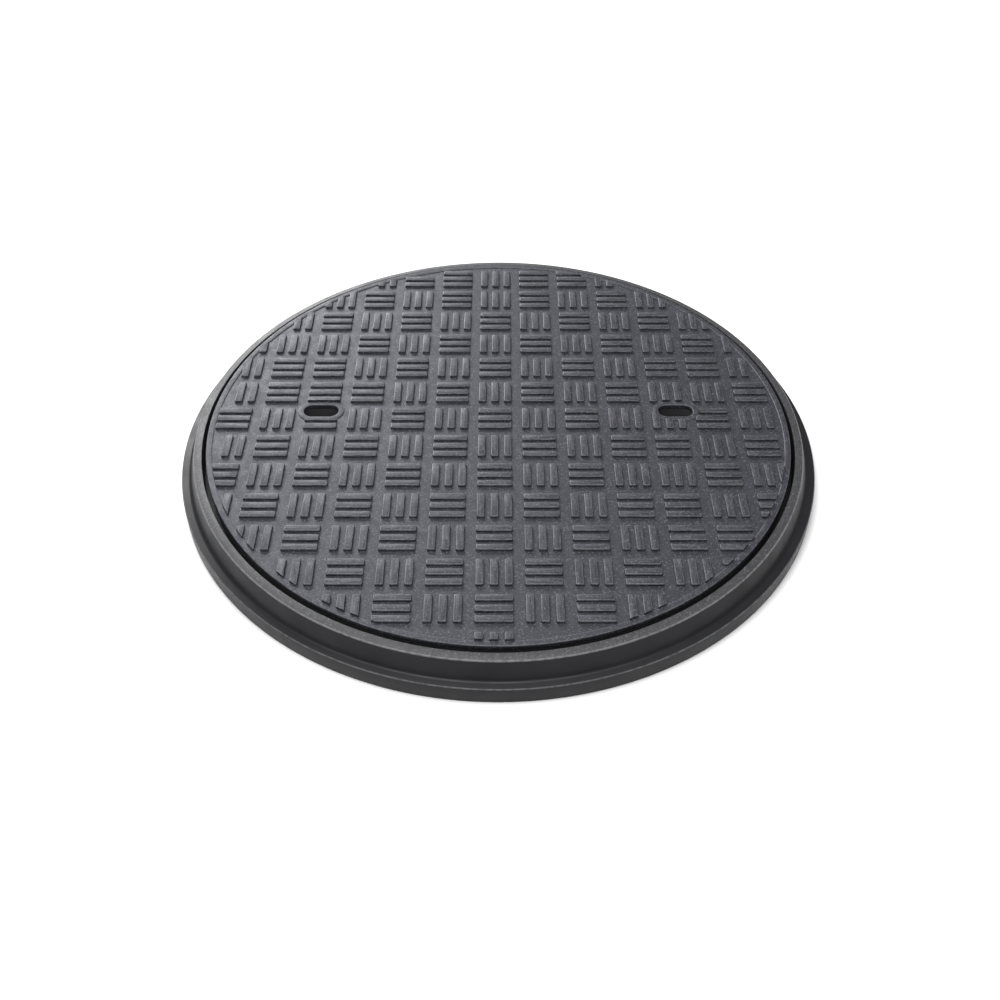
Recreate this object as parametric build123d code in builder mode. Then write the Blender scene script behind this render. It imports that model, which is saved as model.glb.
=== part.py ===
"""Round composite manhole cover in its frame.

Millimetres, +Z up. The origin is on the cover's centre line, in the plane of the frame's foot.
The lid is in place: it lies on the seat of the frame, and its keyholes are to the left and right.
"""

from build123d import *
import math
import os

os.makedirs("parts", exist_ok=True)

# ---------------------------------------------------------------------------------------------
# Driving dimensions
# ---------------------------------------------------------------------------------------------

# Frame
clear_opening_radius = 300.0
seat_width = 20.0
frame_height = 42.0
seat_height = 17.0
ledge_height = 19.0
rim_width = 9.0
rim_fall = 1.8
wall_lean = 6.5
ledge_width = 9.5
cove_radius = 2.5
rim_edge_radius = 1.0
ledge_edge_radius = 1.0
foot_edge_radius = 1.5

# Bedding pockets in the underside of the foot
pocket_depth = 6.0
pocket_inner_land = 7.0
pocket_width = 20.0
pocket_count = 32
pocket_web = 6.0

# Steel hoops cast into the frame
rim_hoop_wire = 4.0
rim_hoop_below_top = 8.0
foot_hoop_wire = 8.0
foot_hoop_height = 9.0
foot_hoop_from_edge = 9.5

# Seat gasket
gasket_width = 8.0
gasket_depth = 3.0
gasket_from_opening = 6.0

# Lid
lid_side_gap = 5.0
lid_edge_draft = 1.5
ground_above_frame = 2.0
tread_base = 5.0
deck_thickness = 12.0
lid_edge_radius = 0.8
skirt_gap = 4.0
skirt_width = 12.0
rib_foot_height = 6.5
rib_width = 14.0
rib_edge_chamfer = 1.5

# Tread: cells of three parallel bars, turned a quarter from cell to cell
tread_rise = 3.0
band_rise = 1.0
band_width = 6.6
cell_pitch_x = 48.4
cell_pitch_y = 46.7
cell_offset_x = -3.9
cell_offset_y = 5.5
cell_size_x = 37.0
cell_size_y = 35.0
bars_per_cell = 3
bar_width = 8.6

# Keyholes
key_from_edge = 121.0
key_y = 20.0
slot_length = 39.0
slot_width = 20.0
border_width = 6.5

# Strike plate, gasket and cup under each keyhole
plate_land = 6.0
plate_room = 1.0
plate_corner_radius = 5.0
plate_thickness = 4.0
cup_gasket_thickness = 1.5
cup_flange = 3.0
key_turning_room = 3.5
cup_wall = 2.0
cup_depth = 14.5
cup_floor = 2.5
cup_corner_radius = 3.0
screw_inset = 6.0
screw_diameter = 4.0
screw_hole_diameter = 4.5
screw_engagement = 7.0
screw_head_diameter = 8.0
screw_head_height = 2.6
screw_socket = 2.5
screw_socket_depth = 1.4

# Steel cast into the lid
mat_bar = 8.0
mat_cover = 3.0
mat_layer_gap = 1.0
skirt_hoop_wire = 6.0
lid_rim_hoop_wire = 10.0
lid_rim_hoop_from_edge = 11.0

# ---------------------------------------------------------------------------------------------
# Sizes that follow from them
# ---------------------------------------------------------------------------------------------

# The lid covers the opening and its seat, and the frame is built out round the lid
lid_radius = clear_opening_radius + seat_width
frame_inner_radius = lid_radius + lid_side_gap
rim_outer_radius = frame_inner_radius + rim_width
rim_outer_height = frame_height - rim_fall
wall_foot_radius = rim_outer_radius + wall_lean
foot_radius = wall_foot_radius + ledge_width

ground_height = frame_height + ground_above_frame
band_height = ground_height + band_rise
lid_top = ground_height + tread_rise
core_top = ground_height - tread_base
deck_underside = core_top - deck_thickness
core_edge_radius = lid_radius - lid_edge_draft
skirt_outer = clear_opening_radius - skirt_gap
skirt_inner = skirt_outer - skirt_width
band_inner_radius = lid_radius - band_width

bar_pitch_x = (cell_size_x - bar_width) / (bars_per_cell - 1)
bar_pitch_y = (cell_size_y - bar_width) / (bars_per_cell - 1)

# The cup is wide enough for the key to turn in, and the plate is wide enough to cover the cup
key_x = lid_radius - key_from_edge
cup_radius = slot_length / 2 + key_turning_room + cup_wall
plate_side = 2 * (cup_radius + plate_land)
plate_bottom = deck_underside - plate_thickness
cup_gasket_bottom = plate_bottom - cup_gasket_thickness
flange_bottom = cup_gasket_bottom - cup_flange
cup_bottom = flange_bottom - cup_depth
screw_square = plate_side - 2 * screw_inset

# The rib grid is set out from the keyholes, so that each cup hangs in the middle of a bay. There
# is an odd number of bays from key to key, as many as still leave the strike plates their room
rib_pitch_least = rib_width + plate_side + 2 * plate_room
bays_between_keys = 2 * math.floor((2 * key_x / rib_pitch_least - 1) / 2) + 1
rib_pitch = 2 * key_x / bays_between_keys
bars_x_height = rib_foot_height + mat_cover + mat_bar / 2
bars_y_height = bars_x_height + mat_bar + mat_layer_gap
mat_radius = skirt_inner - mat_cover


def ruled(first, pitch, reach):
    """Places on a ruler that passes through first, as far as reach on both sides of zero."""
    low = math.ceil((-reach - first) / pitch)
    high = math.floor((reach - first) / pitch)
    return [first + pitch * step for step in range(low, high + 1)]


rib_reach = skirt_inner - rib_width
rib_xs = ruled(0.0, rib_pitch, rib_reach)
rib_ys = ruled(key_y + rib_pitch / 2, rib_pitch, rib_reach)

keyholes = {"left": (-key_x, key_y), "right": (key_x, key_y)}


def finish(part, name):
    """Labels a finished piece and writes its file."""
    part.label = name
    export_step(part, f"parts/{name}.step")
    print(name, len(part.solids()), "solid(s)", round(part.volume), "mm3")


# ---------------------------------------------------------------------------------------------
# Steel cast into the frame
# ---------------------------------------------------------------------------------------------


def hoop(centre_radius, wire, height):
    """A round hoop of wire, lying level at this height."""
    with BuildPart() as ring:
        with BuildSketch(Plane.XZ) as section:
            with Locations((centre_radius, height)):
                Circle(wire / 2)
        revolve(axis=Axis.Z)
    return ring


rim_hoop_radius = frame_inner_radius + rim_width / 2 + wall_lean / 8
frame_rim_hoop = hoop(rim_hoop_radius, rim_hoop_wire, frame_height - rim_hoop_below_top)
finish(frame_rim_hoop.part, "frame_rim_hoop")

foot_hoop_radius = foot_radius - foot_hoop_from_edge
frame_foot_hoop = hoop(foot_hoop_radius, foot_hoop_wire, foot_hoop_height)
finish(frame_foot_hoop.part, "frame_foot_hoop")

# ---------------------------------------------------------------------------------------------
# Seat gasket: a flat rubber ring, flush in its groove
# ---------------------------------------------------------------------------------------------

gasket_inner_radius = clear_opening_radius + gasket_from_opening
gasket_outer_radius = gasket_inner_radius + gasket_width

with BuildPart() as seat_gasket:
    with BuildSketch(Plane.XY.offset(seat_height - gasket_depth)):
        Circle(gasket_outer_radius)
        Circle(gasket_inner_radius, mode=Mode.SUBTRACT)
    extrude(amount=gasket_depth)
finish(seat_gasket.part, "seat_gasket")

# ---------------------------------------------------------------------------------------------
# Frame ring: foot, seat, upstand wall and rim in one moulding
# ---------------------------------------------------------------------------------------------

with BuildPart() as frame_ring:
    with BuildSketch(Plane.XZ) as frame_section:
        with BuildLine():
            Polyline(
                (clear_opening_radius, 0),
                (foot_radius, 0),
                (foot_radius, ledge_height),
                (wall_foot_radius, ledge_height),
                (rim_outer_radius, rim_outer_height),
                (frame_inner_radius, frame_height),
                (frame_inner_radius, seat_height),
                (clear_opening_radius, seat_height),
                close=True,
            )
        make_face()
        corners = frame_section.vertices()
        rim_edge = corners.sort_by_distance((rim_outer_radius, rim_outer_height))[0]
        cove = corners.sort_by_distance((wall_foot_radius, ledge_height))[0]
        ledge_edge = corners.sort_by_distance((foot_radius, ledge_height))[0]
        foot_edge = corners.sort_by_distance((foot_radius, 0))[0]
        fillet(cove, cove_radius)
        fillet(rim_edge, rim_edge_radius)
        fillet(ledge_edge, ledge_edge_radius)
        fillet(foot_edge, foot_edge_radius)
    revolve(axis=Axis.Z)

    # Bedding pockets, which key the foot into its mortar
    with BuildSketch(Plane.XY) as pockets:
        Circle(clear_opening_radius + pocket_inner_land + pocket_width)
        Circle(clear_opening_radius + pocket_inner_land, mode=Mode.SUBTRACT)
        with PolarLocations(clear_opening_radius + pocket_inner_land + pocket_width / 2, pocket_count):
            Rectangle(2 * pocket_width, pocket_web, mode=Mode.SUBTRACT)
    extrude(amount=pocket_depth, mode=Mode.SUBTRACT)

    add(seat_gasket.part, mode=Mode.SUBTRACT)
    add(frame_rim_hoop.part, mode=Mode.SUBTRACT)
    add(frame_foot_hoop.part, mode=Mode.SUBTRACT)
finish(frame_ring.part, "frame_ring")

# ---------------------------------------------------------------------------------------------
# Steel cast into the lid: a mat of bars in two layers, a hoop in the skirt and one in the edge
# ---------------------------------------------------------------------------------------------


def half_chord(offset):
    """Half the length of a mat bar that passes this far from the centre."""
    return math.sqrt(mat_radius**2 - (abs(offset) + mat_bar / 2) ** 2)


with BuildPart() as lid_bars_x:
    for y in rib_ys:
        with BuildSketch(Plane.YZ.offset(-half_chord(y))):
            with Locations((y, bars_x_height)):
                Circle(mat_bar / 2)
        extrude(amount=2 * half_chord(y))
finish(lid_bars_x.part, "lid_bars_x")

with BuildPart() as lid_bars_y:
    for x in rib_xs:
        with BuildSketch(Plane.XZ.offset(-half_chord(x))):
            with Locations((x, bars_y_height)):
                Circle(mat_bar / 2)
        extrude(amount=2 * half_chord(x))
finish(lid_bars_y.part, "lid_bars_y")

lid_skirt_hoop = hoop((skirt_inner + skirt_outer) / 2, skirt_hoop_wire, bars_x_height)
finish(lid_skirt_hoop.part, "lid_skirt_hoop")

edge_middle = (seat_height + core_top) / 2
lid_rim_hoop = hoop(core_edge_radius - lid_rim_hoop_from_edge, lid_rim_hoop_wire, edge_middle)
finish(lid_rim_hoop.part, "lid_rim_hoop")

# ---------------------------------------------------------------------------------------------
# Under each keyhole: strike plate, gasket, cup and screws
# ---------------------------------------------------------------------------------------------


def screw_places(centre):
    """The four screws at the corners of the plate under one keyhole."""
    x, y = centre
    half = screw_square / 2
    return [(x + sx * half, y + sy * half) for sx in (-1, 1) for sy in (-1, 1)]


def strike_plate(centre):
    """Square steel plate with the keyhole's slot. The key turns below it and pulls on it."""
    with BuildPart() as plate:
        with BuildSketch(Plane.XY.offset(plate_bottom)):
            with Locations(centre):
                RectangleRounded(plate_side, plate_side, plate_corner_radius)
                SlotOverall(slot_length, slot_width, mode=Mode.SUBTRACT)
            with Locations(*screw_places(centre)):
                Circle(screw_hole_diameter / 2, mode=Mode.SUBTRACT)
        extrude(amount=plate_thickness)
    return plate


def cup_gasket(centre):
    """Flat seal between strike plate and cup."""
    with BuildPart() as seal:
        with BuildSketch(Plane.XY.offset(cup_gasket_bottom)):
            with Locations(centre):
                RectangleRounded(plate_side, plate_side, plate_corner_radius)
                Circle(cup_radius - cup_wall, mode=Mode.SUBTRACT)
            with Locations(*screw_places(centre)):
                Circle(screw_hole_diameter / 2, mode=Mode.SUBTRACT)
        extrude(amount=cup_gasket_thickness)
    return seal


def key_cup(centre):
    """Blind round cup with a square flange, wide enough for the head of the key to turn."""
    with BuildPart() as cup:
        with BuildSketch(Plane.XY.offset(flange_bottom)):
            with Locations(centre):
                RectangleRounded(plate_side, plate_side, plate_corner_radius)
        extrude(amount=cup_flange)
        with BuildSketch(Plane.XY.offset(cup_bottom)):
            with Locations(centre):
                Circle(cup_radius)
        extrude(amount=cup_depth)
        fillet(cup.edges().group_by(Axis.Z)[0], cup_corner_radius)
        with BuildSketch(Plane.XY.offset(cup_bottom + cup_floor)):
            with Locations(centre):
                Circle(cup_radius - cup_wall)
        extrude(amount=cup_depth - cup_floor + cup_flange, mode=Mode.SUBTRACT)
        with BuildSketch(Plane.XY.offset(flange_bottom)):
            with Locations(*screw_places(centre)):
                Circle(screw_hole_diameter / 2)
        extrude(amount=cup_flange, mode=Mode.SUBTRACT)
    return cup


def cup_screws(centre):
    """Four socket screws that clamp cup, gasket and plate up against the deck."""
    shank = cup_flange + cup_gasket_thickness + plate_thickness + screw_engagement
    with BuildPart() as screws:
        with BuildSketch(Plane.XY.offset(flange_bottom - screw_head_height)):
            with Locations(*screw_places(centre)):
                Circle(screw_head_diameter / 2)
        extrude(amount=screw_head_height)
        with BuildSketch(Plane.XY.offset(flange_bottom)):
            with Locations(*screw_places(centre)):
                Circle(screw_diameter / 2)
        extrude(amount=shank)
        with BuildSketch(Plane.XY.offset(flange_bottom - screw_head_height)):
            with Locations(*screw_places(centre)):
                RegularPolygon(screw_socket / 2, 6, major_radius=False)
        extrude(amount=screw_socket_depth, mode=Mode.SUBTRACT)
    return screws


for side, centre in keyholes.items():
    finish(strike_plate(centre).part, f"keyhole_plate_{side}")
    finish(cup_gasket(centre).part, f"key_cup_gasket_{side}")
    finish(key_cup(centre).part, f"key_cup_{side}")
    finish(cup_screws(centre).part, f"key_cup_screws_{side}")

# ---------------------------------------------------------------------------------------------
# Lid core: deck, seat flange and skirt
# ---------------------------------------------------------------------------------------------

with BuildPart() as lid_core:
    with BuildSketch(Plane.XZ):
        with BuildLine():
            Polyline(
                (0, deck_underside),
                (skirt_inner, deck_underside),
                (skirt_inner, rib_foot_height),
                (skirt_outer, rib_foot_height),
                (skirt_outer, seat_height),
                (core_edge_radius, seat_height),
                (lid_radius, core_top),
                (0, core_top),
                close=True,
            )
        make_face()
    revolve(axis=Axis.Z)
    chamfer(lid_core.edges().group_by(Axis.Z)[0], rib_edge_chamfer)

    # Keyholes through the deck, and the blind holes for the cup screws
    with BuildSketch(Plane.XY.offset(deck_underside)):
        with Locations(*keyholes.values()):
            SlotOverall(slot_length, slot_width)
    extrude(amount=deck_thickness, mode=Mode.SUBTRACT)
    with BuildSketch(Plane.XY.offset(deck_underside)):
        with Locations(*[place for centre in keyholes.values() for place in screw_places(centre)]):
            Circle(screw_diameter / 2)
    extrude(amount=screw_engagement, mode=Mode.SUBTRACT)

    # The steel is cast in, also where a thicker deck reaches down to the mat
    add(lid_skirt_hoop.part, mode=Mode.SUBTRACT)
    add(lid_rim_hoop.part, mode=Mode.SUBTRACT)
    add(lid_bars_x.part, mode=Mode.SUBTRACT)
    add(lid_bars_y.part, mode=Mode.SUBTRACT)
finish(lid_core.part, "lid_core")

# ---------------------------------------------------------------------------------------------
# Rib grid under the deck: long ribs from side to side, cross ribs between them
# ---------------------------------------------------------------------------------------------

rib_depth = deck_underside - rib_foot_height


def soften_feet(ribs):
    """Bevels the long edges along the foot of each rib."""
    feet = ribs.edges().group_by(Axis.Z)[0].filter_by(GeomType.LINE)
    chamfer([edge for edge in feet if edge.length > rib_width * 1.01], rib_edge_chamfer)


with BuildPart() as lid_ribs_x:
    with BuildSketch(Plane.XY.offset(rib_foot_height)):
        with Locations(*[(0, y) for y in rib_ys]):
            Rectangle(2 * lid_radius, rib_width)
        Circle(skirt_inner, mode=Mode.INTERSECT)
    extrude(amount=rib_depth)
    soften_feet(lid_ribs_x)
    add(lid_bars_x.part, mode=Mode.SUBTRACT)
    add(lid_bars_y.part, mode=Mode.SUBTRACT)
finish(lid_ribs_x.part, "lid_ribs_x")

with BuildPart() as lid_ribs_y:
    with BuildSketch(Plane.XY.offset(rib_foot_height)):
        with Locations(*[(x, 0) for x in rib_xs]):
            Rectangle(rib_width, 2 * lid_radius)
        Circle(skirt_inner, mode=Mode.INTERSECT)
        with Locations(*[(0, y) for y in rib_ys]):
            Rectangle(2 * lid_radius, rib_width, mode=Mode.SUBTRACT)
    extrude(amount=rib_depth)
    soften_feet(lid_ribs_y)
    add(lid_bars_y.part, mode=Mode.SUBTRACT)
finish(lid_ribs_y.part, "lid_ribs_y")

# ---------------------------------------------------------------------------------------------
# Lid tread: the wear face, with its band, its weave of bars and the borders of the keyholes
# ---------------------------------------------------------------------------------------------


def is_turned(column, row):
    """Whether a cell is laid out of step with the weave, as some are at the lid's edge."""
    right_edge = (column >= 5 and -4 <= row <= 2) or (column == 4 and -3 <= row <= 0)
    back_edge = abs(column) <= 1 and row == 6
    left_edge = (column, row) in [(-4, 1), (-5, 2), (-5, 3), (-6, 2)]
    return right_edge or back_edge or left_edge


def runs_along_x(column, row):
    """Whether the bars of a cell run left to right. They do in every second cell."""
    return ((column + row) % 2 == 0) != is_turned(column, row)


def bar_places():
    """The middles of all bars whose middle line shows well inside the band: along X, along Y."""
    along_x, along_y = [], []
    columns = math.ceil(lid_radius / cell_pitch_x)
    rows = math.ceil(lid_radius / cell_pitch_y)
    for column in range(-columns, columns + 1):
        for row in range(-rows, rows + 1):
            x = cell_offset_x + column * cell_pitch_x
            y = cell_offset_y + row * cell_pitch_y
            for bar in range(bars_per_cell):
                step = bar - (bars_per_cell - 1) / 2
                if runs_along_x(column, row):
                    bar_y = y + step * bar_pitch_y
                    nearest = math.hypot(max(abs(x) - cell_size_x / 2, 0), bar_y)
                    if nearest < band_inner_radius - bar_width / 2:
                        along_x.append((x, bar_y))
                else:
                    bar_x = x + step * bar_pitch_x
                    nearest = math.hypot(bar_x, max(abs(y) - cell_size_y / 2, 0))
                    if nearest < band_inner_radius - bar_width / 2:
                        along_y.append((bar_x, y))
    return along_x, along_y


bars_along_x, bars_along_y = bar_places()


def borders(rim):
    """Oblongs around both keyholes, this much wider than the slots all round."""
    with Locations(*keyholes.values()):
        SlotOverall(slot_length + 2 * rim, slot_width + 2 * rim, mode=Mode.SUBTRACT)


with BuildPart() as lid_tread:
    with BuildSketch(Plane.XZ) as tread_section:
        with Locations((lid_radius / 2, (core_top + band_height) / 2)):
            Rectangle(lid_radius, band_height - core_top)
        lid_edge = tread_section.vertices().sort_by_distance((lid_radius, band_height))[0]
        fillet(lid_edge, lid_edge_radius)
    revolve(axis=Axis.Z)

    # The ground is cut down from the level of the band, and leaves borders round the keyholes
    with BuildSketch(Plane.XY.offset(ground_height)):
        Circle(band_inner_radius)
        borders(border_width)
    extrude(amount=band_rise, mode=Mode.SUBTRACT)

    # The bars stand on the ground, and stop at the band and at the borders
    with BuildSketch(Plane.XY.offset(ground_height)):
        with Locations(*bars_along_x):
            Rectangle(cell_size_x, bar_width)
        with Locations(*bars_along_y):
            Rectangle(bar_width, cell_size_y)
        Circle(band_inner_radius, mode=Mode.INTERSECT)
        borders(border_width)
    extrude(amount=tread_rise)

    with BuildSketch(Plane.XY.offset(core_top)):
        with Locations(*keyholes.values()):
            SlotOverall(slot_length, slot_width)
    extrude(amount=band_height - core_top, mode=Mode.SUBTRACT)
finish(lid_tread.part, "lid_tread")
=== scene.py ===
# %% [markdown]
# # A round manhole cover in its frame
# This is a composite cover for a shaft in a pavement. A round lid lies in a flanged ring, level
# with the paving. The lid's face is a basket weave of short raised bars, so that shoes and
# tyres grip on it, and two oblong holes take the lifting keys.
#
# The solid model made beforehand gives the places and the main sizes. It is loaded first, and
# nothing in it is moved. The lesson then makes the pieces whose surface is seen most in finer
# mesh, and gives every piece a finish built from nodes.

# %% Load the solid model
import math

import bmesh
import bpy
from mathutils import Matrix, Vector


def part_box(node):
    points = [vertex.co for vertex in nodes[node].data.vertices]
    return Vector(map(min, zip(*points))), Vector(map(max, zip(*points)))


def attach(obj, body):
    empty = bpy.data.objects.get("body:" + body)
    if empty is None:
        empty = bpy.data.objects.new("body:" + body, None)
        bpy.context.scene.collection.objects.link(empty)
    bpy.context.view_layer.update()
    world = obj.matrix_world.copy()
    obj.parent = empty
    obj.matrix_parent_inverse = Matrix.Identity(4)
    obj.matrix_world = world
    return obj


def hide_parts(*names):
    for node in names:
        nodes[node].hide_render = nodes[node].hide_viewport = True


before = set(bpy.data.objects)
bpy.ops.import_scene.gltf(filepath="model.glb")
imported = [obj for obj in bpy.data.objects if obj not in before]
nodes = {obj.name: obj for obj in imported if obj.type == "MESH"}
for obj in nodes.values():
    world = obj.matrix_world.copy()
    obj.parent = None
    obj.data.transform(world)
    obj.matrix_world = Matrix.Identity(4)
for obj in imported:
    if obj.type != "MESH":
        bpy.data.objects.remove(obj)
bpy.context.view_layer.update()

print(len(nodes), "pieces in the solid model")

# %% [markdown]
# ## Sizes
# The heights and radii come from the boxes round the solid pieces, so a change there is
# followed here. What a box can't tell, such as how far the bars stand up, is named once, in
# metres, and used from here on.

# %% Sizes that the solid model gives
MM = 0.001
foot_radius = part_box("frame_ring")[1][0]
rim_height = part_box("frame_ring")[1][2]
seat_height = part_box("seat_gasket")[1][2]
gasket_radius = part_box("seat_gasket")[1][0]
lid_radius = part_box("lid_tread")[1][0]
bar_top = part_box("lid_tread")[1][2]
deck_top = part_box("lid_tread")[0][2]
print("lid", round(2 * lid_radius / MM), "mm across, top at", round(bar_top / MM, 1), "mm")

# %% Sizes of the frame
clear_opening_radius = foot_radius - 50 * MM
gasket_width = 8 * MM
gasket_depth = 3 * MM
rim_inner_radius = lid_radius + 5 * MM
rim_outer_radius = rim_inner_radius + 9 * MM
rim_outer_height = rim_height - 1.8 * MM
wall_foot_radius = rim_outer_radius + 6.5 * MM
ledge_height = seat_height + 2 * MM
pocket_inner_radius = clear_opening_radius + 7 * MM
pocket_outer_radius = pocket_inner_radius + 20 * MM
pocket_depth = 6 * MM
pocket_count = 32

# %% Sizes of the tread
ground_height = bar_top - 3 * MM
band_height = bar_top - 2 * MM
band_inner_radius = lid_radius - 6.6 * MM
cell_pitch = (48.4 * MM, 46.7 * MM)
cell_offset = (-3.9 * MM, 5.5 * MM)
cell_size = (37 * MM, 35 * MM)
bars_per_cell = 3
bar_width = 8.6 * MM
bar_draft = 0.35 * MM
bar_sink = 0.8 * MM
edge_rounding = 0.8 * MM
foot_sink = 0.1 * MM

# %% Sizes of the keyholes and the grit
keyhole_places = [(-199 * MM, 20 * MM), (199 * MM, 20 * MM)]
slot_radius = 10 * MM
slot_half_run = 9.5 * MM
border_width = 6.5 * MM
border_radius = slot_radius + border_width
grit_size = 1.15 * MM

# %% [markdown]
# ## The camera
# The cover is seen from a little over a metre away, from the height of a crouching person's eyes.
# A lens of about 43 mm keeps the near and the far edge of the ring in natural proportion. A
# camera could be aimed by typing in its angles. Aiming it at a point is easier to read and to
# change, and `to_track_quat` turns the line of sight into the camera's rotation.

# %% Camera
camera_data = bpy.data.cameras.new("camera")
camera_data.lens = 42.71
camera_data.sensor_width = 36
camera = bpy.data.objects.new("camera", camera_data)
bpy.context.scene.collection.objects.link(camera)
bpy.context.scene.camera = camera

camera.location = (0.0018, -1.0149, 0.8902)
aim = Vector((0.0018, -0.1258, 0.045))
camera.rotation_mode = "QUATERNION"
camera.rotation_quaternion = (aim - camera.location).to_track_quat("-Z", "Y")
print("camera", round((aim - camera.location).length, 3), "m from what it looks at")

# %% [markdown]
# ## Small helpers
# Each new piece is built in a bmesh, which is Blender's editable mesh. Turning it into an
# object is the same few lines every time: point the normals outwards, write the mesh, smooth
# the faces but keep the real edges sharp. Then the piece is told which body of the solid model
# it rides on and which solid piece it stands for.
#
# Two more helpers draw an outline and spin it. A third counts the edges that don't have a face
# on each side, because a shell that is closed has none.


# %% From a bmesh to a piece
SHARP_FROM = math.radians(35)


def make_piece(bm, name, body, replaced):
    """Writes a finished bmesh as a piece that rides on a body and stands for a solid piece."""
    bmesh.ops.recalc_face_normals(bm, faces=bm.faces)
    mesh = bpy.data.meshes.new(name)
    bm.to_mesh(mesh)
    bm.free()
    mesh.polygons.foreach_set("use_smooth", [True] * len(mesh.polygons))
    mesh.set_sharp_from_angle(angle=SHARP_FROM)
    piece = bpy.data.objects.new(name, mesh)
    bpy.context.scene.collection.objects.link(piece)
    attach(piece, body)
    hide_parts(replaced)
    print(name, len(mesh.polygons), "faces")
    return piece


# %% A profile, and its round turn about the centre line
def profile_loop(bm, corners):
    """A closed outline in the XZ plane. Each corner is (radius, height, rounding, steps)."""
    verts = [bm.verts.new((radius, 0, height)) for radius, height, _, _ in corners]
    bm.faces.new(verts)
    for vert, (_, _, rounding, steps) in zip(verts, corners):
        if rounding:
            bmesh.ops.bevel(
                bm, geom=[vert], offset=rounding, offset_type="OFFSET", affect="VERTICES",
                segments=steps, profile=0.5, material=-1,
            )
    bmesh.ops.delete(bm, geom=bm.faces[:], context="FACES_ONLY")


def turn_full(bm, steps):
    """Spins everything in the bmesh once round the Z axis and closes the seam."""
    bmesh.ops.rotate(bm, verts=bm.verts[:], matrix=Matrix.Rotation(math.pi / steps, 3, "Z"))
    bmesh.ops.spin(
        bm, geom=bm.verts[:] + bm.edges[:], cent=(0, 0, 0), axis=(0, 0, 1),
        angle=2 * math.pi, steps=steps, use_merge=True,
    )
    bmesh.ops.remove_doubles(bm, verts=bm.verts[:], dist=0.001 * MM)


def open_edges(bm):
    """How many edges don't have exactly one face on each side."""
    return sum(1 for edge in bm.edges if not edge.is_manifold)


# %% [markdown]
# ## The frame ring
# The ring is one moulding: a wide foot that is bedded in mortar, a seat for the lid, and a thin
# wall that leans in as it rises to a narrow rim. Its section is the same all the way round, so
# it could be lathed with a Screw modifier, or cut from nested cylinders. Here the section is
# drawn as one outline, its corners are rounded while it is still flat, and it is spun in 320
# steps. That number gives ten steps to each bedding pocket: nine for the pocket and one for
# the web beside it, so the pockets are faces of the ring, pushed up into it. What is pushed up
# is a copy of those faces. The old ones are deleted, or they would cover the pockets.

# %% Frame ring
steps_per_pocket = 10
ring_steps = steps_per_pocket * pocket_count
ring = bmesh.new()
profile_loop(ring, [
    (clear_opening_radius, 0, 0.6 * MM, 2),
    (pocket_inner_radius, 0, 0, 0),
    (pocket_outer_radius, 0, 0, 0),
    (foot_radius, 0, 1.5 * MM, 4),
    (foot_radius, ledge_height, 1 * MM, 4),
    (wall_foot_radius, ledge_height, 2.5 * MM, 6),
    (rim_outer_radius, rim_outer_height, 1 * MM, 4),
    (rim_inner_radius, rim_height, 0.5 * MM, 2),
    (rim_inner_radius, seat_height, 0, 0),
    (gasket_radius, seat_height, 0, 0),
    (gasket_radius, seat_height - gasket_depth, 0, 0),
    (gasket_radius - gasket_width, seat_height - gasket_depth, 0, 0),
    (gasket_radius - gasket_width, seat_height, 0, 0),
    (clear_opening_radius, seat_height, 0.6 * MM, 2),
])
turn_full(ring, ring_steps)

# %% Bedding pockets in its underside
pocket_floor = []
for face in ring.faces:
    middle = face.calc_center_median()
    reach = math.hypot(middle.x, middle.y)
    step = round(math.atan2(middle.y, middle.x) / (2 * math.pi) * ring_steps) % ring_steps
    in_pocket_band = middle.z < 0.01 * MM and pocket_inner_radius < reach < pocket_outer_radius
    if in_pocket_band and step % steps_per_pocket != 0:
        pocket_floor.append(face)
print(len(pocket_floor), "faces are pushed up for the pockets")
pushed = bmesh.ops.extrude_face_region(ring, geom=pocket_floor)
pocket_roof = [item for item in pushed["geom"] if isinstance(item, bmesh.types.BMVert)]
bmesh.ops.translate(ring, verts=pocket_roof, vec=(0, 0, pocket_depth))
bmesh.ops.delete(ring, geom=pocket_floor, context="FACES")
print("ring", open_edges(ring), "open edges")
frame_piece = make_piece(ring, "frame_ring_fine", "frame", "frame_ring")

# %% [markdown]
# ## The seat gasket
# A flat rubber ring lies in a groove of the seat, flush with it, and keeps the lid from
# rattling. Two fine grooves run round its face, which let it give under the lid. It could stay
# the plain ring of the solid model, but it is in full view when the lid is off, and the grooves
# are only six more corners in an outline that is spun like the frame's.

# %% Seat gasket
gasket_bottom = seat_height - gasket_depth
gasket_inner_radius = gasket_radius - gasket_width
groove_half_width = 0.6 * MM
groove_depth = 0.9 * MM
gasket_rounding = 0.3 * MM
gasket_corners = [
    (gasket_inner_radius, gasket_bottom, 0, 0),
    (gasket_radius, gasket_bottom, 0, 0),
    (gasket_radius, seat_height, gasket_rounding, 2),
]
for groove_radius in (gasket_radius - 2.6 * MM, gasket_radius - 5.4 * MM):
    gasket_corners += [
        (groove_radius + groove_half_width, seat_height, 0, 0),
        (groove_radius, seat_height - groove_depth, 0, 0),
        (groove_radius - groove_half_width, seat_height, 0, 0),
    ]
gasket_corners.append((gasket_inner_radius, seat_height, gasket_rounding, 2))
gasket = bmesh.new()
profile_loop(gasket, gasket_corners)
turn_full(gasket, 256)
print("gasket", open_edges(gasket), "open edges")
gasket_piece = make_piece(gasket, "seat_gasket_fine", "frame", "seat_gasket")

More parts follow.
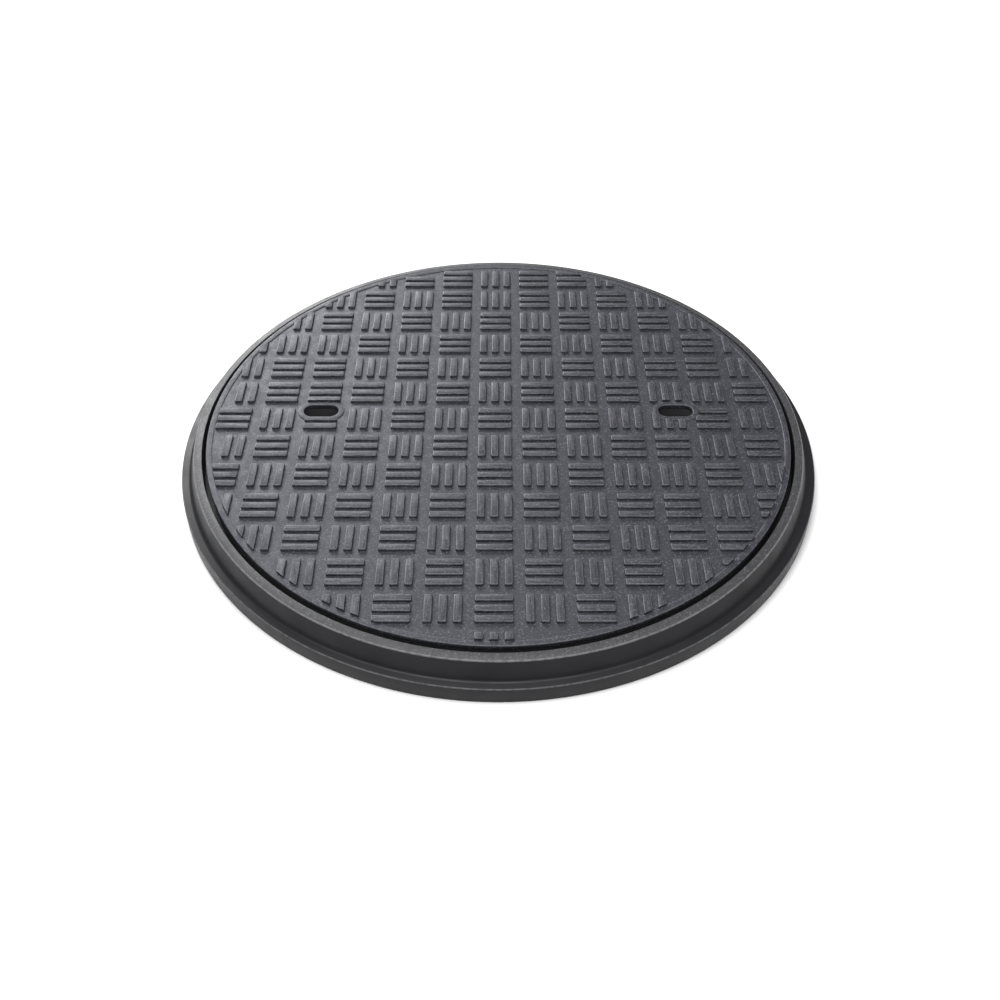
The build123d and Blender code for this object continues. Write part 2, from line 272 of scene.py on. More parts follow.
# %% [markdown]
# ## The tread, step one: the ground
# The lid's face is one moulding with the deck below it. It has four kinds of surface: the level
# ground, a band round the edge that stands one millimetre above it, a border of the same height
# round each keyhole, and the bars, which stand three. They could be cut out of one disc with
# booleans, as the solid model does, but booleans leave long thin triangles that shade badly.
# So each kind is its own closed shell, sunk a little into its neighbour, and all of them are
# written to one mesh.
#
# The ground is a flat plate with two oblong holes. Anything round turns oblong when its left half
# is pushed left and its right half right, which is all that `make_oblong` does. The plate
# reaches a little way under the band, and its holes lie under the borders.


# %% From round to oblong, and one mesh into another
def make_oblong(verts, place):
    """Pushes the halves of something round apart by the keyhole's run, and sets it on its place."""
    for vert in verts:
        side = 1 if vert.co.x > 0 else -1
        vert.co += Vector((place[0] + side * slot_half_run, place[1], 0))


def add_mesh(bm, part):
    """Adds the faces of one bmesh to another and frees it."""
    mesh = bpy.data.meshes.new("part")
    bmesh.ops.recalc_face_normals(part, faces=part.faces)
    part.to_mesh(mesh)
    part.free()
    bm.from_mesh(mesh)
    bpy.data.meshes.remove(mesh)


# %% Ground plate
tread = bmesh.new()
ground = bmesh.new()
ground_level = Matrix.Translation((0, 0, ground_height))
bmesh.ops.create_circle(
    ground, cap_ends=False, radius=band_inner_radius + 1.5 * MM, segments=256, matrix=ground_level,
)
oblong_steps = 48
half_step = Matrix.Rotation(math.pi / oblong_steps, 4, "Z")
for place in keyhole_places:
    hole = bmesh.ops.create_circle(
        ground, cap_ends=False, radius=slot_radius + 3 * MM, segments=oblong_steps,
        matrix=ground_level @ half_step,
    )
    make_oblong(hole["verts"], place)
bmesh.ops.triangle_fill(ground, use_beauty=True, edges=ground.edges[:])
thick = bmesh.ops.extrude_face_region(ground, geom=ground.faces[:], use_keep_orig=True)
under = [item for item in thick["geom"] if isinstance(item, bmesh.types.BMVert)]
bmesh.ops.translate(ground, verts=under, vec=(0, 0, deck_top - ground_height))
print("ground", len(ground.faces), "faces,", open_edges(ground), "open edges")
add_mesh(tread, ground)

# %% [markdown]
# ## The tread, step two: the band and the borders
# The band is spun like the frame, with a narrow crisp outer edge. A border isn't round, so it
# can't be spun as it is. It is spun as a ring about the centre line, and then made oblong and set
# on its place. Its inner side is the wall of the keyhole.

# %% Band
band = bmesh.new()
profile_loop(band, [
    (band_inner_radius - foot_sink, deck_top, 0, 0),
    (lid_radius, deck_top, 0, 0),
    (lid_radius, band_height, edge_rounding, 3),
    (band_inner_radius + 0.3 * MM, band_height, 0.5 * MM, 2),
    (band_inner_radius - foot_sink, ground_height - foot_sink, 0, 0),
])
turn_full(band, ring_steps)
print("band", open_edges(band), "open edges")
add_mesh(tread, band)

# %% Borders of the keyholes
for place in keyhole_places:
    border = bmesh.new()
    profile_loop(border, [
        (slot_radius, deck_top, 0, 0),
        (slot_radius, band_height, edge_rounding, 3),
        (border_radius - 0.3 * MM, band_height, 0.5 * MM, 2),
        (border_radius, ground_height - foot_sink, 0, 0),
        (border_radius, deck_top, 0, 0),
    ])
    turn_full(border, oblong_steps)
    make_oblong(border.verts, place)
    print("border", open_edges(border), "open edges")
    add_mesh(tread, border)
print("tread so far", len(tread.faces), "faces")

# %% [markdown]
# ## The tread, step three: one bar
# The bars are nearly alike, so two are made, one for each direction, and placed some 420 times.
# A bar is a box whose top is smaller than its foot, because a moulding has to leave its mould,
# with rounded corners and a softly broken upper edge. All of that is a cube, scaled and
# bevelled. It has few faces, because each face counts 420 times.
#
# Two numbers are written on the faces later, for the finish to read: `run` tells it which way
# the bar lies, and the second marks the upper edges, which the finish makes paler: partly wear
# where feet have rubbed the face, partly a painted highlight.


# %% One bar
def new_bar(length, width):
    """A bar along X, over the centre line, with its foot sunk a little into the ground."""
    bm = bmesh.new()
    bmesh.ops.create_cube(bm, size=1)
    height = bar_top - ground_height + bar_sink
    bmesh.ops.scale(bm, verts=bm.verts[:], vec=(length, width, height))
    bmesh.ops.translate(bm, verts=bm.verts[:], vec=(0, 0, bar_top - height / 2))
    top = [vert for vert in bm.verts if vert.co.z > ground_height]
    shrink = Vector((1 - 2 * bar_draft / length, 1 - 2 * bar_draft / width, 1))
    bmesh.ops.scale(bm, verts=top, vec=shrink)
    upright = [edge for edge in bm.edges if abs(edge.verts[0].co.z - edge.verts[1].co.z) > MM]
    bmesh.ops.bevel(
        bm, geom=upright, offset=1.3 * MM, offset_type="OFFSET", affect="EDGES",
        segments=3, profile=0.5, material=-1,
    )
    rim = [edge for edge in bm.edges if min(vert.co.z for vert in edge.verts) > bar_top - 0.01 * MM]
    bmesh.ops.bevel(
        bm, geom=rim, offset=edge_rounding, offset_type="OFFSET", affect="EDGES",
        segments=2, profile=0.5, material=-1,
    )
    return bm


bar_sample = new_bar(cell_size[0], bar_width)
print("one bar has", len(bar_sample.faces), "faces")
bar_sample.free()

# %% [markdown]
# ## The tread, step four: the weave
# The bars lie in cells of three. In a basket weave the bars of one cell lie across those of the
# next, which is a test for odd and even, as on a chessboard. On this lid a few cells at the
# edge fall out of step, and those are listed by column and row.
#
# A bar that reaches the band or a border ends there. `bisect_plane` cuts it along an upright
# plane, and `edgeloop_fill` closes the cut. The band is a circle, so a bar is cut there by
# three planes that follow it.


# %% Which way the bars of a cell lie
def is_turned(column, row):
    """Whether a cell is out of step with the weave."""
    right_edge = (column >= 5 and -4 <= row <= 2) or (column == 4 and -3 <= row <= 0)
    back_edge = abs(column) <= 1 and row == 6
    left_edge = (column, row) in [(-4, 1), (-5, 2), (-5, 3), (-6, 2)]
    return right_edge or back_edge or left_edge


def bars_of_cell(column, row):
    """Middle and direction of each bar in a cell, as (x, y, whether it lies along X)."""
    x = cell_offset[0] + column * cell_pitch[0]
    y = cell_offset[1] + row * cell_pitch[1]
    along_x = ((column + row) % 2 == 0) != is_turned(column, row)
    spacing = (cell_size[1 if along_x else 0] - bar_width) / (bars_per_cell - 1)
    steps = [(bar - (bars_per_cell - 1) / 2) * spacing for bar in range(bars_per_cell)]
    return [(x, y + step, True) if along_x else (x + step, y, False) for step in steps]


# %% Cutting a bar back
def cut_back(bm, point, outward):
    """Removes what lies beyond an upright plane and closes the cut."""
    cut = bmesh.ops.bisect_plane(
        bm, geom=bm.verts[:] + bm.edges[:] + bm.faces[:], plane_co=point, plane_no=outward,
        clear_outer=True, clear_inner=False,
    )
    edges = [item for item in cut["geom_cut"] if isinstance(item, bmesh.types.BMEdge)]
    if edges:
        bmesh.ops.edgeloop_fill(bm, edges=edges)


def cut_at_band(bm):
    """Ends a bar at the band, along three planes that follow the circle."""
    bearings = [math.atan2(vert.co.y, vert.co.x) for vert in bm.verts]
    middle = sum(vert.co.x for vert in bm.verts), sum(vert.co.y for vert in bm.verts)
    centre = math.atan2(middle[1], middle[0])
    spread = max(abs(math.remainder(bearing - centre, 2 * math.pi)) for bearing in bearings)
    for part in (-0.66, 0, 0.66):
        bearing = centre + part * spread
        outward = Vector((math.cos(bearing), math.sin(bearing), 0))
        if bm.faces:
            cut_back(bm, outward * band_inner_radius, outward)


def cut_at_border(bm, place):
    """Ends a bar at the border of a keyhole, on the side where most of the bar is."""
    middle = sum((vert.co for vert in bm.verts), Vector()) / len(bm.verts)
    run = min(max(middle.x - place[0], -slot_half_run), slot_half_run)
    spine = Vector((place[0] + run, place[1], 0))
    away = Vector((middle.x, middle.y, 0)) - spine
    if abs(run) < slot_half_run:
        away = Vector((0, math.copysign(1, away.y), 0))
    away.normalize()
    cut_back(bm, spine + away * border_radius, -away)


# %% Distances that tell which bars need it
def reach_of(bm):
    """How far the farthest point of a bar is from the centre line."""
    return max(math.hypot(vert.co.x, vert.co.y) for vert in bm.verts)


def distance_from_slot(bm, place):
    """How far the bar's nearest point is from the middle line of a keyhole."""
    return min(
        math.hypot(max(abs(vert.co.x - place[0]) - slot_half_run, 0), vert.co.y - place[1])
        for vert in bm.verts
    )


# %% Templates, one for each direction
templates = {}
for along_x in (True, False):
    template = new_bar(cell_size[0 if along_x else 1], bar_width)
    if not along_x:
        quarter = Matrix.Rotation(math.pi / 2, 3, "Z")
        bmesh.ops.rotate(template, verts=template.verts[:], matrix=quarter)
    templates[along_x] = template


# %% A bar in its place
def in_border(x, y, place):
    """Whether a point of the lid's face lies within the border of a keyhole."""
    along = max(abs(x - place[0]) - slot_half_run, 0)
    return math.hypot(along, y - place[1]) < border_radius


def place_bar(x, y, along_x):
    """One bar, cut back where it meets the band or a border. None where only a sliver shows."""
    if along_x:
        half_x, half_y = cell_size[0] / 2, bar_width / 2
        spine_x, spine_y = half_x, 0
    else:
        half_x, half_y = bar_width / 2, cell_size[1] / 2
        spine_x, spine_y = 0, half_y
    nearest = math.hypot(max(abs(x) - spine_x, 0), max(abs(y) - spine_y, 0))
    if nearest >= band_inner_radius - bar_width / 2:
        return None
    corners = [(x + sx * half_x, y + sy * half_y) for sx in (-1, 1) for sy in (-1, 1)]
    if any(all(in_border(*corner, place) for corner in corners) for place in keyhole_places):
        return None
    bar = templates[along_x].copy()
    bmesh.ops.translate(bar, verts=bar.verts[:], vec=(x, y, 0))
    if reach_of(bar) > band_inner_radius:
        cut_at_band(bar)
    for place in keyhole_places:
        if bar.faces and distance_from_slot(bar, place) < border_radius:
            cut_at_border(bar, place)
    return bar


# %% Lay the bars
columns = math.ceil(lid_radius / cell_pitch[0])
rows = math.ceil(lid_radius / cell_pitch[1])
run_marks = [0.0] * len(tread.faces)
bar_count = 0
for column in range(-columns, columns + 1):
    for row in range(-rows, rows + 1):
        for x, y, along_x in bars_of_cell(column, row):
            bar = place_bar(x, y, along_x)
            if bar is None:
                continue
            add_mesh(tread, bar)
            bar_count += 1
            added = len(tread.faces) - len(run_marks)
            run_marks += [1.0 if along_x else 2.0] * added
for template in templates.values():
    template.free()
print(bar_count, "bars,", len(tread.faces), "faces in the tread")

# %% Tread face as a piece, with its two marks
tread_piece = make_piece(tread, "lid_tread_fine", "lid", "lid_tread")
# These faces are the upper edges. The finish makes them paler, partly as wear and partly as a painted
# highlight.
wear_and_highlight_marks = [
    1.0 if 0.2 < face.normal.z < 0.97 and face.center.z > band_height - 1.2 * MM else 0.0
    for face in tread_piece.data.polygons
]
for mark, values in (("run", run_marks), ("edge_wear_and_highlight", wear_and_highlight_marks)):
    layer = tread_piece.data.attributes.new(mark, "FLOAT", "FACE")
    layer.data.foreach_set("value", values)
print(int(sum(wear_and_highlight_marks)), "faces are marked as worn edges")

# %% [markdown]
# ## Finishes
# Nearly everything here is glass-filled composite: resin with short glass fibre and mineral
# grit, pressed in a hot mould. Where the mould is polished it comes out satin and even. Where
# grip is wanted the mould is blasted, and the face comes out dull and granular, with pale grit
# just under the skin. An image could carry that, but it would need unwrapping and would only be
# sharp at one distance. Noise in the piece's own coordinates has neither fault.
#
# The helpers below keep each finish short: `node` adds a node with its settings and joins its
# inputs, `combine`, `rescale` and `blend_colours` do the sums, and `relief` adds the bump.


# %% Helpers for node trees
def new_finish(name):
    """A material with only a Principled shader and its output."""
    material = bpy.data.materials.new(name)
    material.use_nodes = True
    tree = material.node_tree
    tree.nodes.clear()
    output = tree.nodes.new("ShaderNodeOutputMaterial")
    shader = tree.nodes.new("ShaderNodeBsdfPrincipled")
    tree.links.new(shader.outputs["BSDF"], output.inputs["Surface"])
    return material, tree, shader


def node(tree, kind, settings=None, **inputs):
    """A node with its settings and its input values, named as on the node in lower case."""
    made = tree.nodes.new("ShaderNode" + kind)
    for key, value in (settings or {}).items():
        setattr(made, key, value)
    for key, value in inputs.items():
        socket = made.inputs[key.replace("_", " ").title()]
        if isinstance(value, bpy.types.NodeSocket):
            tree.links.new(value, socket)
        else:
            socket.default_value = value
    return made


def combine(tree, operation, first, second):
    """The result of a Math node on two values or sockets."""
    made = tree.nodes.new("ShaderNodeMath")
    made.operation = operation
    for socket, value in zip(made.inputs, (first, second)):
        if isinstance(value, bpy.types.NodeSocket):
            tree.links.new(value, socket)
        else:
            socket.default_value = value
    return made.outputs[0]


def rescale(tree, value, low, high, to_low, to_high):
    """A value carried from one range to another, smoothly and without running past the ends."""
    made = node(
        tree, "MapRange", {"interpolation_type": "SMOOTHSTEP"}, value=value, from_min=low,
        from_max=high, to_min=to_low, to_max=to_high,
    )
    return made.outputs["Result"]


def blend_colours(tree, amount, first, second, mode="MIX"):
    """Two colours mixed. amount, first and second are values or sockets."""
    made = tree.nodes.new("ShaderNodeMix")
    made.data_type = "RGBA"
    made.blend_type = mode
    for index, value in ((0, amount), (6, first), (7, second)):
        if isinstance(value, bpy.types.NodeSocket):
            tree.links.new(value, made.inputs[index])
        else:
            made.inputs[index].default_value = value if index == 0 else (*value, 1)
    return made.outputs[2]


def noise(tree, where, grain, detail=2.0, rough=0.5):
    """Noise whose lumps are about this many metres across."""
    made = node(
        tree, "TexNoise", None, vector=where, scale=1 / grain, detail=detail, roughness=rough
    )
    return made.outputs["Fac"]


def stretched(tree, where, factors):
    """Coordinates pulled out along an axis, for streaks."""
    return node(tree, "Mapping", None, vector=where, scale=factors).outputs["Vector"]


def ramp(tree, value, stops):
    """A colour ramp. stops is a list of (position, grey or colour)."""
    made = node(tree, "ValToRGB", None, fac=value)
    band = made.color_ramp
    while len(band.elements) < len(stops):
        band.elements.new(0.5)
    for element, (position, colour) in zip(band.elements, stops):
        element.position = position
        element.color = (*colour, 1) if isinstance(colour, tuple) else (colour, colour, colour, 1)
    return made.outputs["Color"]


def relief(tree, shader, height, depth, strength=1.0):
    """Bump from a height of 0 to 1 that stands for this depth in metres."""
    made = node(tree, "Bump", None, strength=strength, distance=depth, height=height)
    tree.links.new(made.outputs["Normal"], shader.inputs["Normal"])


# %% [markdown]
# ## Gritty composite
# The grain is cells about a millimetre across from a Voronoi texture, each with its own grey:
# most near the middle, a few pale ones for the grit. A slower noise makes blotches a few
# centimetres across, where more or less resin came to the face. Dull grit also has a bump,
# because that, more than colour, is what breaks up the shine.


# %% Grit shared by the tread and the rim
def grit(tree, where, size):
    """(grey of each grain, its height), both from 0 to 1."""
    cells = node(tree, "TexVoronoi", None, vector=where, scale=1 / size)
    grey = node(tree, "SeparateColor", None, color=cells.outputs["Color"]).outputs["Red"]
    fine = noise(tree, where, size * 0.6, detail=3.0, rough=0.6)
    dome = combine(tree, "SUBTRACT", 1.0, cells.outputs["Distance"])
    coarse_part = combine(tree, "MULTIPLY", dome, 0.45)
    height = combine(tree, "ADD", coarse_part, combine(tree, "MULTIPLY", fine, 0.55))
    return grey, height


# %% Tread finish
tread_finish, tree, shader = new_finish("tread_composite_finish")
where = node(tree, "TexCoord").outputs["Object"]
grey, height = grit(tree, where, grit_size)
grains = ramp(tree, grey, [
    (0.0, (0.013, 0.013, 0.016)), (0.35, (0.021, 0.021, 0.026)),
    (0.85, (0.029, 0.029, 0.035)), (1.0, (0.09, 0.09, 0.10)),
])
blotch = rescale(tree, noise(tree, where, 45 * MM, detail=4.0, rough=0.62), 0.3, 0.7, 0.86, 1.16)
tinted = blend_colours(tree, 1.0, grains, ramp(tree, blotch, [(0.0, 0.0), (1.0, 1.0)]), "MULTIPLY")
run = node(tree, "Attribute", {"attribute_name": "run"}).outputs["Fac"]
streak_x = noise(tree, stretched(tree, where, (0.07, 1, 1)), 1.5 * MM, detail=2.0)
streak_y = noise(tree, stretched(tree, where, (1, 0.07, 1)), 1.5 * MM, detail=2.0)
lies_along_y = rescale(tree, run, 1.2, 1.8, 0.0, 1.0)
streak = node(tree, "Mix", None, factor=lies_along_y)
tree.links.new(streak_x, streak.inputs[2])
tree.links.new(streak_y, streak.inputs[3])
on_bar = rescale(tree, run, 0.2, 0.8, 0.0, 1.0)
streak_light = rescale(tree, streak.outputs[0], 0.35, 0.7, -0.006, 0.024)
lifted = combine(tree, "MULTIPLY", streak_light, on_bar)
lift_colour = node(tree, "CombineColor", None, red=lifted, green=lifted, blue=lifted).outputs["Color"]
streaked = blend_colours(tree, 1.0, tinted, lift_colour, "ADD")
# Partly wear, partly painted highlight: the upper edges are made paler in patches. This stands in for
# rubbing by feet and also for light caught on the edges.
edge_wear_and_highlight = node(tree, "Attribute", {"attribute_name": "edge_wear_and_highlight"}).outputs["Fac"]
wear_and_highlight_patches = rescale(tree, noise(tree, where, 6 * MM), 0.35, 0.65, 0.15, 0.6)
wear_and_highlight_amount = combine(tree, "MULTIPLY", edge_wear_and_highlight, wear_and_highlight_patches)
tread_colour = blend_colours(tree, wear_and_highlight_amount, streaked, (0.13, 0.13, 0.14))
tree.links.new(tread_colour, shader.inputs["Base Color"])
patchy = rescale(tree, noise(tree, where, 12 * MM, detail=3.0), 0.3, 0.7, 0.49, 0.61)
roughness = combine(tree, "SUBTRACT", patchy, combine(tree, "MULTIPLY", edge_wear_and_highlight, 0.1))
tree.links.new(roughness, shader.inputs["Roughness"])
shader.inputs["Specular Tint"].default_value = (0.86, 0.89, 1.0, 1.0)
relief(tree, shader, height, 0.3 * MM, 0.6)
print("tread finish has", len(tree.nodes), "nodes")

# %% [markdown]
# ## Satin composite, gritty on the rim
# The frame came from a polished mould, so its wall and ledge are satin and even, with the faint
# clouding of resin that flowed. Only the top of the rim is gritty like the tread. One finish
# does both: it reads the height of the point and fades from one to the other over the last
# millimetre. The two outer edges, of the rim and of the ledge, get a painted highlight: their
# colour is made paler, in patches, as if they caught the light. They are found by radius
# and height.

# %% Frame finish
frame_finish, tree, shader = new_finish("frame_composite_finish")
where = node(tree, "TexCoord").outputs["Object"]
place = node(tree, "SeparateXYZ", None, vector=where)
flat_place = node(tree, "CombineXYZ", None, x=place.outputs["X"], y=place.outputs["Y"])
radius = node(tree, "VectorMath", {"operation": "LENGTH"})
tree.links.new(flat_place.outputs[0], radius.inputs[0])
radius = radius.outputs["Value"]
level = place.outputs["Z"]
grey, height = grit(tree, where, grit_size)
rim_colour = ramp(tree, grey, [
    (0.0, (0.026, 0.026, 0.029)), (0.35, (0.038, 0.038, 0.042)),
    (0.85, (0.048, 0.048, 0.052)), (1.0, (0.10, 0.10, 0.105)),
])
cloud = noise(tree, where, 60 * MM, detail=4.0, rough=0.55)
wall_colour = ramp(tree, cloud, [(0.25, (0.011, 0.011, 0.013)), (0.75, (0.017, 0.017, 0.019))])
on_rim = rescale(tree, level, rim_outer_height - 0.8 * MM, rim_outer_height - 0.1 * MM, 0.0, 1.0)
colour = blend_colours(tree, on_rim, wall_colour, rim_colour)


def edge_mask(tree, radius, level, at_radius, at_level, width):
    """1 near one circle of the ring, fading to 0 at this width from it."""
    off_radius = combine(tree, "ABSOLUTE", combine(tree, "SUBTRACT", radius, at_radius), 0.0)
    off_level = combine(tree, "ABSOLUTE", combine(tree, "SUBTRACT", level, at_level), 0.0)
    return rescale(tree, combine(tree, "MAXIMUM", off_radius, off_level), width * 0.4, width, 1.0, 0.0)


# Painted highlight: paler colour along the outer edges of the rim and the ledge, in patches, standing in
# for light caught there.
rim_edge = edge_mask(
    tree, radius, level, rim_outer_radius - 0.3 * MM, rim_outer_height - 0.2 * MM, 1.1 * MM
)
ledge_edge = edge_mask(
    tree, radius, level, foot_radius - 0.3 * MM, ledge_height - 0.3 * MM, 1.0 * MM
)
painted_edge_highlight = combine(tree, "MAXIMUM", rim_edge, combine(tree, "MULTIPLY", ledge_edge, 0.6))
broken = rescale(tree, noise(tree, where, 5 * MM, detail=3.0), 0.3, 0.6, 0.45, 1.0)
colour = blend_colours(tree, combine(tree, "MULTIPLY", painted_edge_highlight, broken), colour, (0.16, 0.16, 0.165))
tree.links.new(colour, shader.inputs["Base Color"])
satin = rescale(tree, noise(tree, where, 25 * MM, detail=3.0), 0.3, 0.7, 0.38, 0.48)
roughness = combine(tree, "ADD", satin, combine(tree, "MULTIPLY", on_rim, 0.06))
tree.links.new(roughness, shader.inputs["Roughness"])
skin = combine(tree, "MULTIPLY", noise(tree, where, 2.2 * MM, detail=2.0), 0.12)
rim_relief = combine(tree, "MULTIPLY", height, on_rim)
relief(tree, shader, combine(tree, "ADD", rim_relief, skin), 0.35 * MM, 0.7)
tree.links.new(rescale(tree, on_rim, 0.0, 1.0, 0.22, 0.42), shader.inputs["Specular IOR Level"])
print("frame finish has", len(tree.nodes), "nodes")

# %% [markdown]
# ## Core composite
# The deck, skirt and ribs are the same composite without the dark grit at the face. They come
# from a plain steel mould, so they are satin and a little paler, with flow lines that wander as
# the resin ran into the ribs. A noise whose coordinates are bent by a slower noise gives such
# lines.

# %% Core finish
core_finish, tree, shader = new_finish("core_composite_finish")
where = node(tree, "TexCoord").outputs["Object"]
drift = node(tree, "TexNoise", None, vector=where, scale=9.0, detail=2.0).outputs["Color"]
bent = node(tree, "VectorMath", {"operation": "MULTIPLY_ADD"})
tree.links.new(drift, bent.inputs[0])
bent.inputs[1].default_value = (0.12, 0.12, 0.12)
tree.links.new(where, bent.inputs[2])
flow = noise(tree, stretched(tree, bent.outputs[0], (1, 0.25, 1)), 16 * MM, detail=5.0, rough=0.6)
specks = noise(tree, where, 0.9 * MM, detail=1.0)
flow_colour = ramp(tree, flow, [(0.3, (0.045, 0.045, 0.048)), (0.7, (0.085, 0.085, 0.09))])
speck_colour = ramp(tree, specks, [(0.62, 0.0), (0.75, 0.05)])
tree.links.new(blend_colours(tree, 1.0, flow_colour, speck_colour, "ADD"), shader.inputs["Base Color"])
tree.links.new(rescale(tree, flow, 0.3, 0.7, 0.5, 0.36), shader.inputs["Roughness"])
speck_relief = combine(tree, "MULTIPLY", specks, 0.6)
core_relief = combine(tree, "ADD", speck_relief, combine(tree, "MULTIPLY", flow, 0.4))
relief(tree, shader, core_relief, 0.15 * MM, 0.6)
print("core finish has", len(tree.nodes), "nodes")

# %% [markdown]
# ## Steel, plastic and rubber
# The hoops and bars cast into the ring and lid are plain reinforcing steel: brown mill scale
# with rust in patches. The strike plates are stainless, brushed the way the keyholes lie, and
# the screws are stainless too, drawn along their length. The key cups are black polypropylene
# with the fine even grain of a spark-eroded mould. The gaskets are matt black rubber with a
# little talc left on them from moulding.

# %% Reinforcing steel
bar_finish, tree, shader = new_finish("reinforcing_steel_finish")
where = node(tree, "TexCoord").outputs["Object"]
rust = rescale(tree, noise(tree, where, 14 * MM, detail=6.0, rough=0.65), 0.45, 0.6, 0.0, 1.0)
scale_colour = ramp(tree, noise(tree, where, 3 * MM, detail=4.0), [
    (0.3, (0.05, 0.047, 0.046)), (0.7, (0.11, 0.10, 0.095)),
])
tree.links.new(blend_colours(tree, rust, scale_colour, (0.19, 0.075, 0.03)), shader.inputs["Base Color"])
tree.links.new(rescale(tree, rust, 0.0, 1.0, 0.8, 0.1), shader.inputs["Metallic"])
tree.links.new(rescale(tree, rust, 0.0, 1.0, 0.42, 0.85), shader.inputs["Roughness"])
relief(tree, shader, noise(tree, where, 1.2 * MM, detail=4.0), 0.2 * MM, 0.6)
print("reinforcing steel has", len(tree.nodes), "nodes")


# %% Stainless steel, brushed one way
def brushed_steel(name, grain, along, colours):
    """Stainless steel with fine lines along one axis."""
    material, tree, shader = new_finish(name)
    where = node(tree, "TexCoord").outputs["Object"]
    lines = noise(tree, stretched(tree, where, along), grain, detail=4.0, rough=0.65)
    cloud = noise(tree, where, 18 * MM, detail=3.0)
    line_part = combine(tree, "MULTIPLY", lines, 0.7)
    mixed = combine(tree, "ADD", line_part, combine(tree, "MULTIPLY", cloud, 0.3))
    tree.links.new(ramp(tree, mixed, [(0.3, colours[0]), (0.7, colours[1])]), shader.inputs["Base Color"])
    tree.links.new(rescale(tree, lines, 0.3, 0.7, 0.26, 0.42), shader.inputs["Roughness"])
    shader.inputs["Metallic"].default_value = 1.0
    relief(tree, shader, lines, 0.03 * MM, 0.5)
    print(name, "has", len(tree.nodes), "nodes")
    return material


plate_finish = brushed_steel(
    "plate_steel_finish", 0.5 * MM, (0.03, 1, 1), ((0.42, 0.42, 0.41), (0.62, 0.62, 0.60))
)
screw_finish = brushed_steel(
    "screw_steel_finish", 0.35 * MM, (1, 1, 0.1), ((0.5, 0.5, 0.49), (0.68, 0.68, 0.66))
)

# %% Black plastic
cup_finish, tree, shader = new_finish("cup_plastic_finish")
where = node(tree, "TexCoord").outputs["Object"]
spark = node(tree, "TexVoronoi", None, vector=where, scale=1 / (0.6 * MM)).outputs["Distance"]
cloud = noise(tree, where, 20 * MM, detail=3.0)
cup_colour = ramp(tree, cloud, [(0.3, (0.012, 0.012, 0.013)), (0.7, (0.022, 0.022, 0.023))])
tree.links.new(cup_colour, shader.inputs["Base Color"])
tree.links.new(rescale(tree, cloud, 0.3, 0.7, 0.42, 0.55), shader.inputs["Roughness"])
relief(tree, shader, spark, 0.08 * MM, 0.5)
print("black plastic has", len(tree.nodes), "nodes")

# %% Rubber
rubber_finish, tree, shader = new_finish("gasket_rubber_finish")
where = node(tree, "TexCoord").outputs["Object"]
talc = rescale(tree, noise(tree, where, 9 * MM, detail=5.0, rough=0.65), 0.5, 0.75, 0.0, 0.35)
talc_colour = blend_colours(tree, talc, (0.014, 0.014, 0.015), (0.12, 0.12, 0.118))
tree.links.new(talc_colour, shader.inputs["Base Color"])
tree.links.new(rescale(tree, talc, 0.0, 0.35, 0.68, 0.9), shader.inputs["Roughness"])
relief(tree, shader, noise(tree, where, 0.8 * MM, detail=3.0), 0.08 * MM, 0.5)
print("rubber has", len(tree.nodes), "nodes")

# %% [markdown]
# ## Giving each piece its finish
# The new pieces get their finish directly. The pieces of the solid model that still show keep
# their mesh, and only the material in their slot changes.

# %% Finishes on pieces
finish_of = {
    "lid_core": core_finish,
    "lid_ribs_x": core_finish,
    "lid_ribs_y": core_finish,
    "frame_rim_hoop": bar_finish,
    "frame_foot_hoop": bar_finish,
    "lid_bars_x": bar_finish,
    "lid_bars_y": bar_finish,
    "lid_skirt_hoop": bar_finish,
    "lid_rim_hoop": bar_finish,
}
for side in ("left", "right"):
    finish_of["keyhole_plate_" + side] = plate_finish
    finish_of["key_cup_gasket_" + side] = rubber_finish
    finish_of["key_cup_" + side] = cup_finish
    finish_of["key_cup_screws_" + side] = screw_finish


def dress(piece, material):
    """Puts one finish on a whole piece."""
    if piece.material_slots:
        for material_slot in piece.material_slots:
            material_slot.material = material
    else:
        piece.data.materials.append(material)


for name, material in finish_of.items():
    dress(nodes[name], material)
dress(frame_piece, frame_finish)
dress(gasket_piece, rubber_finish)
dress(tread_piece, tread_finish)
print(len(finish_of) + 3, "pieces have their finish")
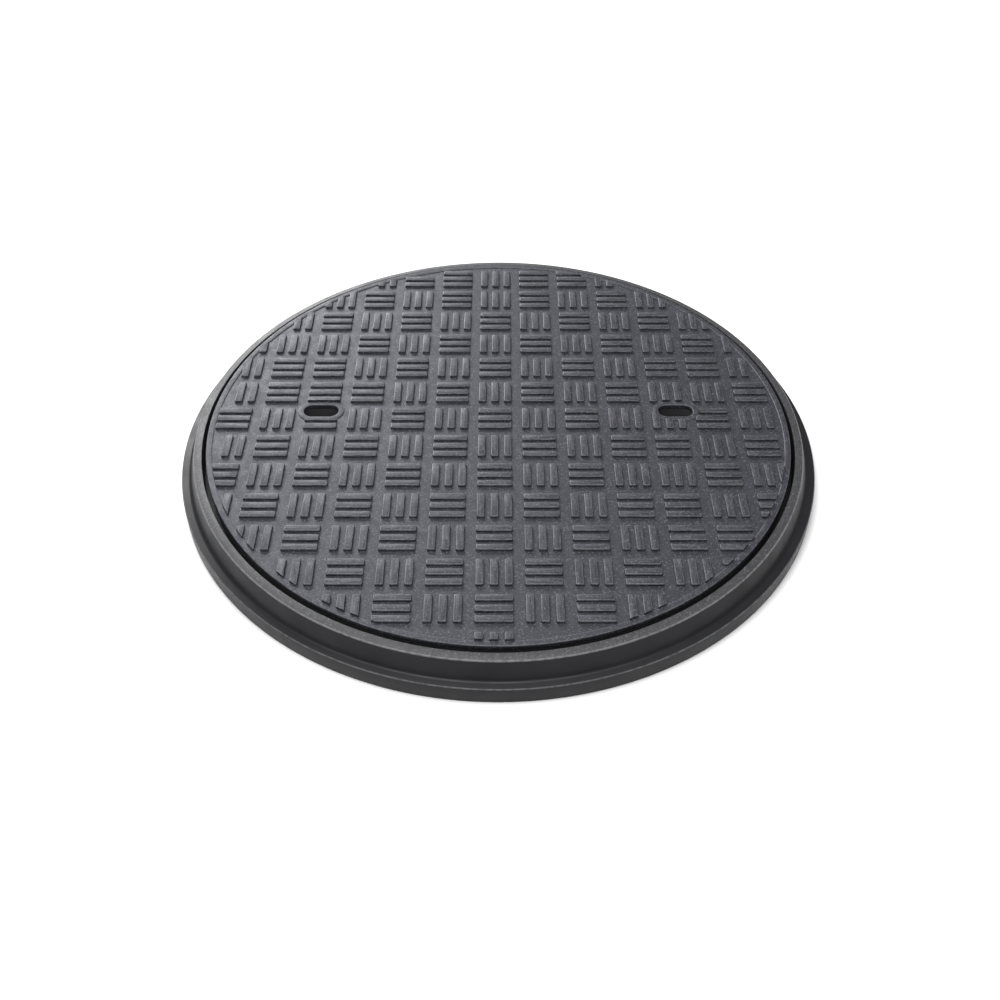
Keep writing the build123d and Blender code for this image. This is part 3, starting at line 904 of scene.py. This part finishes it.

# %% [markdown]
# ## Floor
# The cover stands on a plain white floor, large enough to fill every view.

# %% Floor
floor_mesh = bmesh.new()
bmesh.ops.create_circle(floor_mesh, cap_ends=True, radius=12, segments=64)
floor_data = bpy.data.meshes.new("floor")
floor_mesh.to_mesh(floor_data)
floor_mesh.free()
floor = bpy.data.objects.new("floor", floor_data)
bpy.context.scene.collection.objects.link(floor)
floor_finish, tree, shader = new_finish("floor_finish")
shader.inputs["Base Color"].default_value = (0.93, 0.93, 0.93, 1)
shader.inputs["Roughness"].default_value = 0.9
shader.inputs["Specular IOR Level"].default_value = 0.1
dress(floor, floor_finish)
print("floor", round(floor.dimensions.x, 1), "m across")

# %% [markdown]
# ## Light
# The light is that of a small studio. A wide soft box hangs over the cover and makes the floor
# white. A second one stands behind it on the left and is where the light seems to come from: it
# glances off the face towards the eye, more on the left than on the right, and leaves the
# near side of every bar in shade. The room itself gives only a little, so that the shade stays
# dark. Area lights are used because their size sets how soft the shadows are.


# %% Lights
def soft_box(name, place, target, width, depth, power):
    """An area light of this size in metres, aimed at a point."""
    data = bpy.data.lights.new(name, "AREA")
    data.shape = "RECTANGLE"
    data.size = width
    data.size_y = depth
    data.energy = power
    lamp = bpy.data.objects.new(name, data)
    lamp.location = place
    lamp.rotation_mode = "QUATERNION"
    lamp.rotation_quaternion = (Vector(target) - lamp.location).to_track_quat("-Z", "Y")
    bpy.context.scene.collection.objects.link(lamp)
    print(name, power, "W,", round(lamp.location.length, 2), "m from the cover")


soft_box("overhead", (-0.2, -0.4, 2.4), (0, 0, 0), 1.6, 1.6, 69)
soft_box("back_left", (-0.95, 1.95, 1.08), (-0.1, 0, 0), 1.3, 0.9, 56)

world = bpy.data.worlds.new("room")
world.use_nodes = True
world.node_tree.nodes["Background"].inputs["Color"].default_value = (1, 1, 1, 1)
world.node_tree.nodes["Background"].inputs["Strength"].default_value = 0.30
bpy.context.scene.world = world
bpy.context.scene.view_settings.view_transform = "Standard"
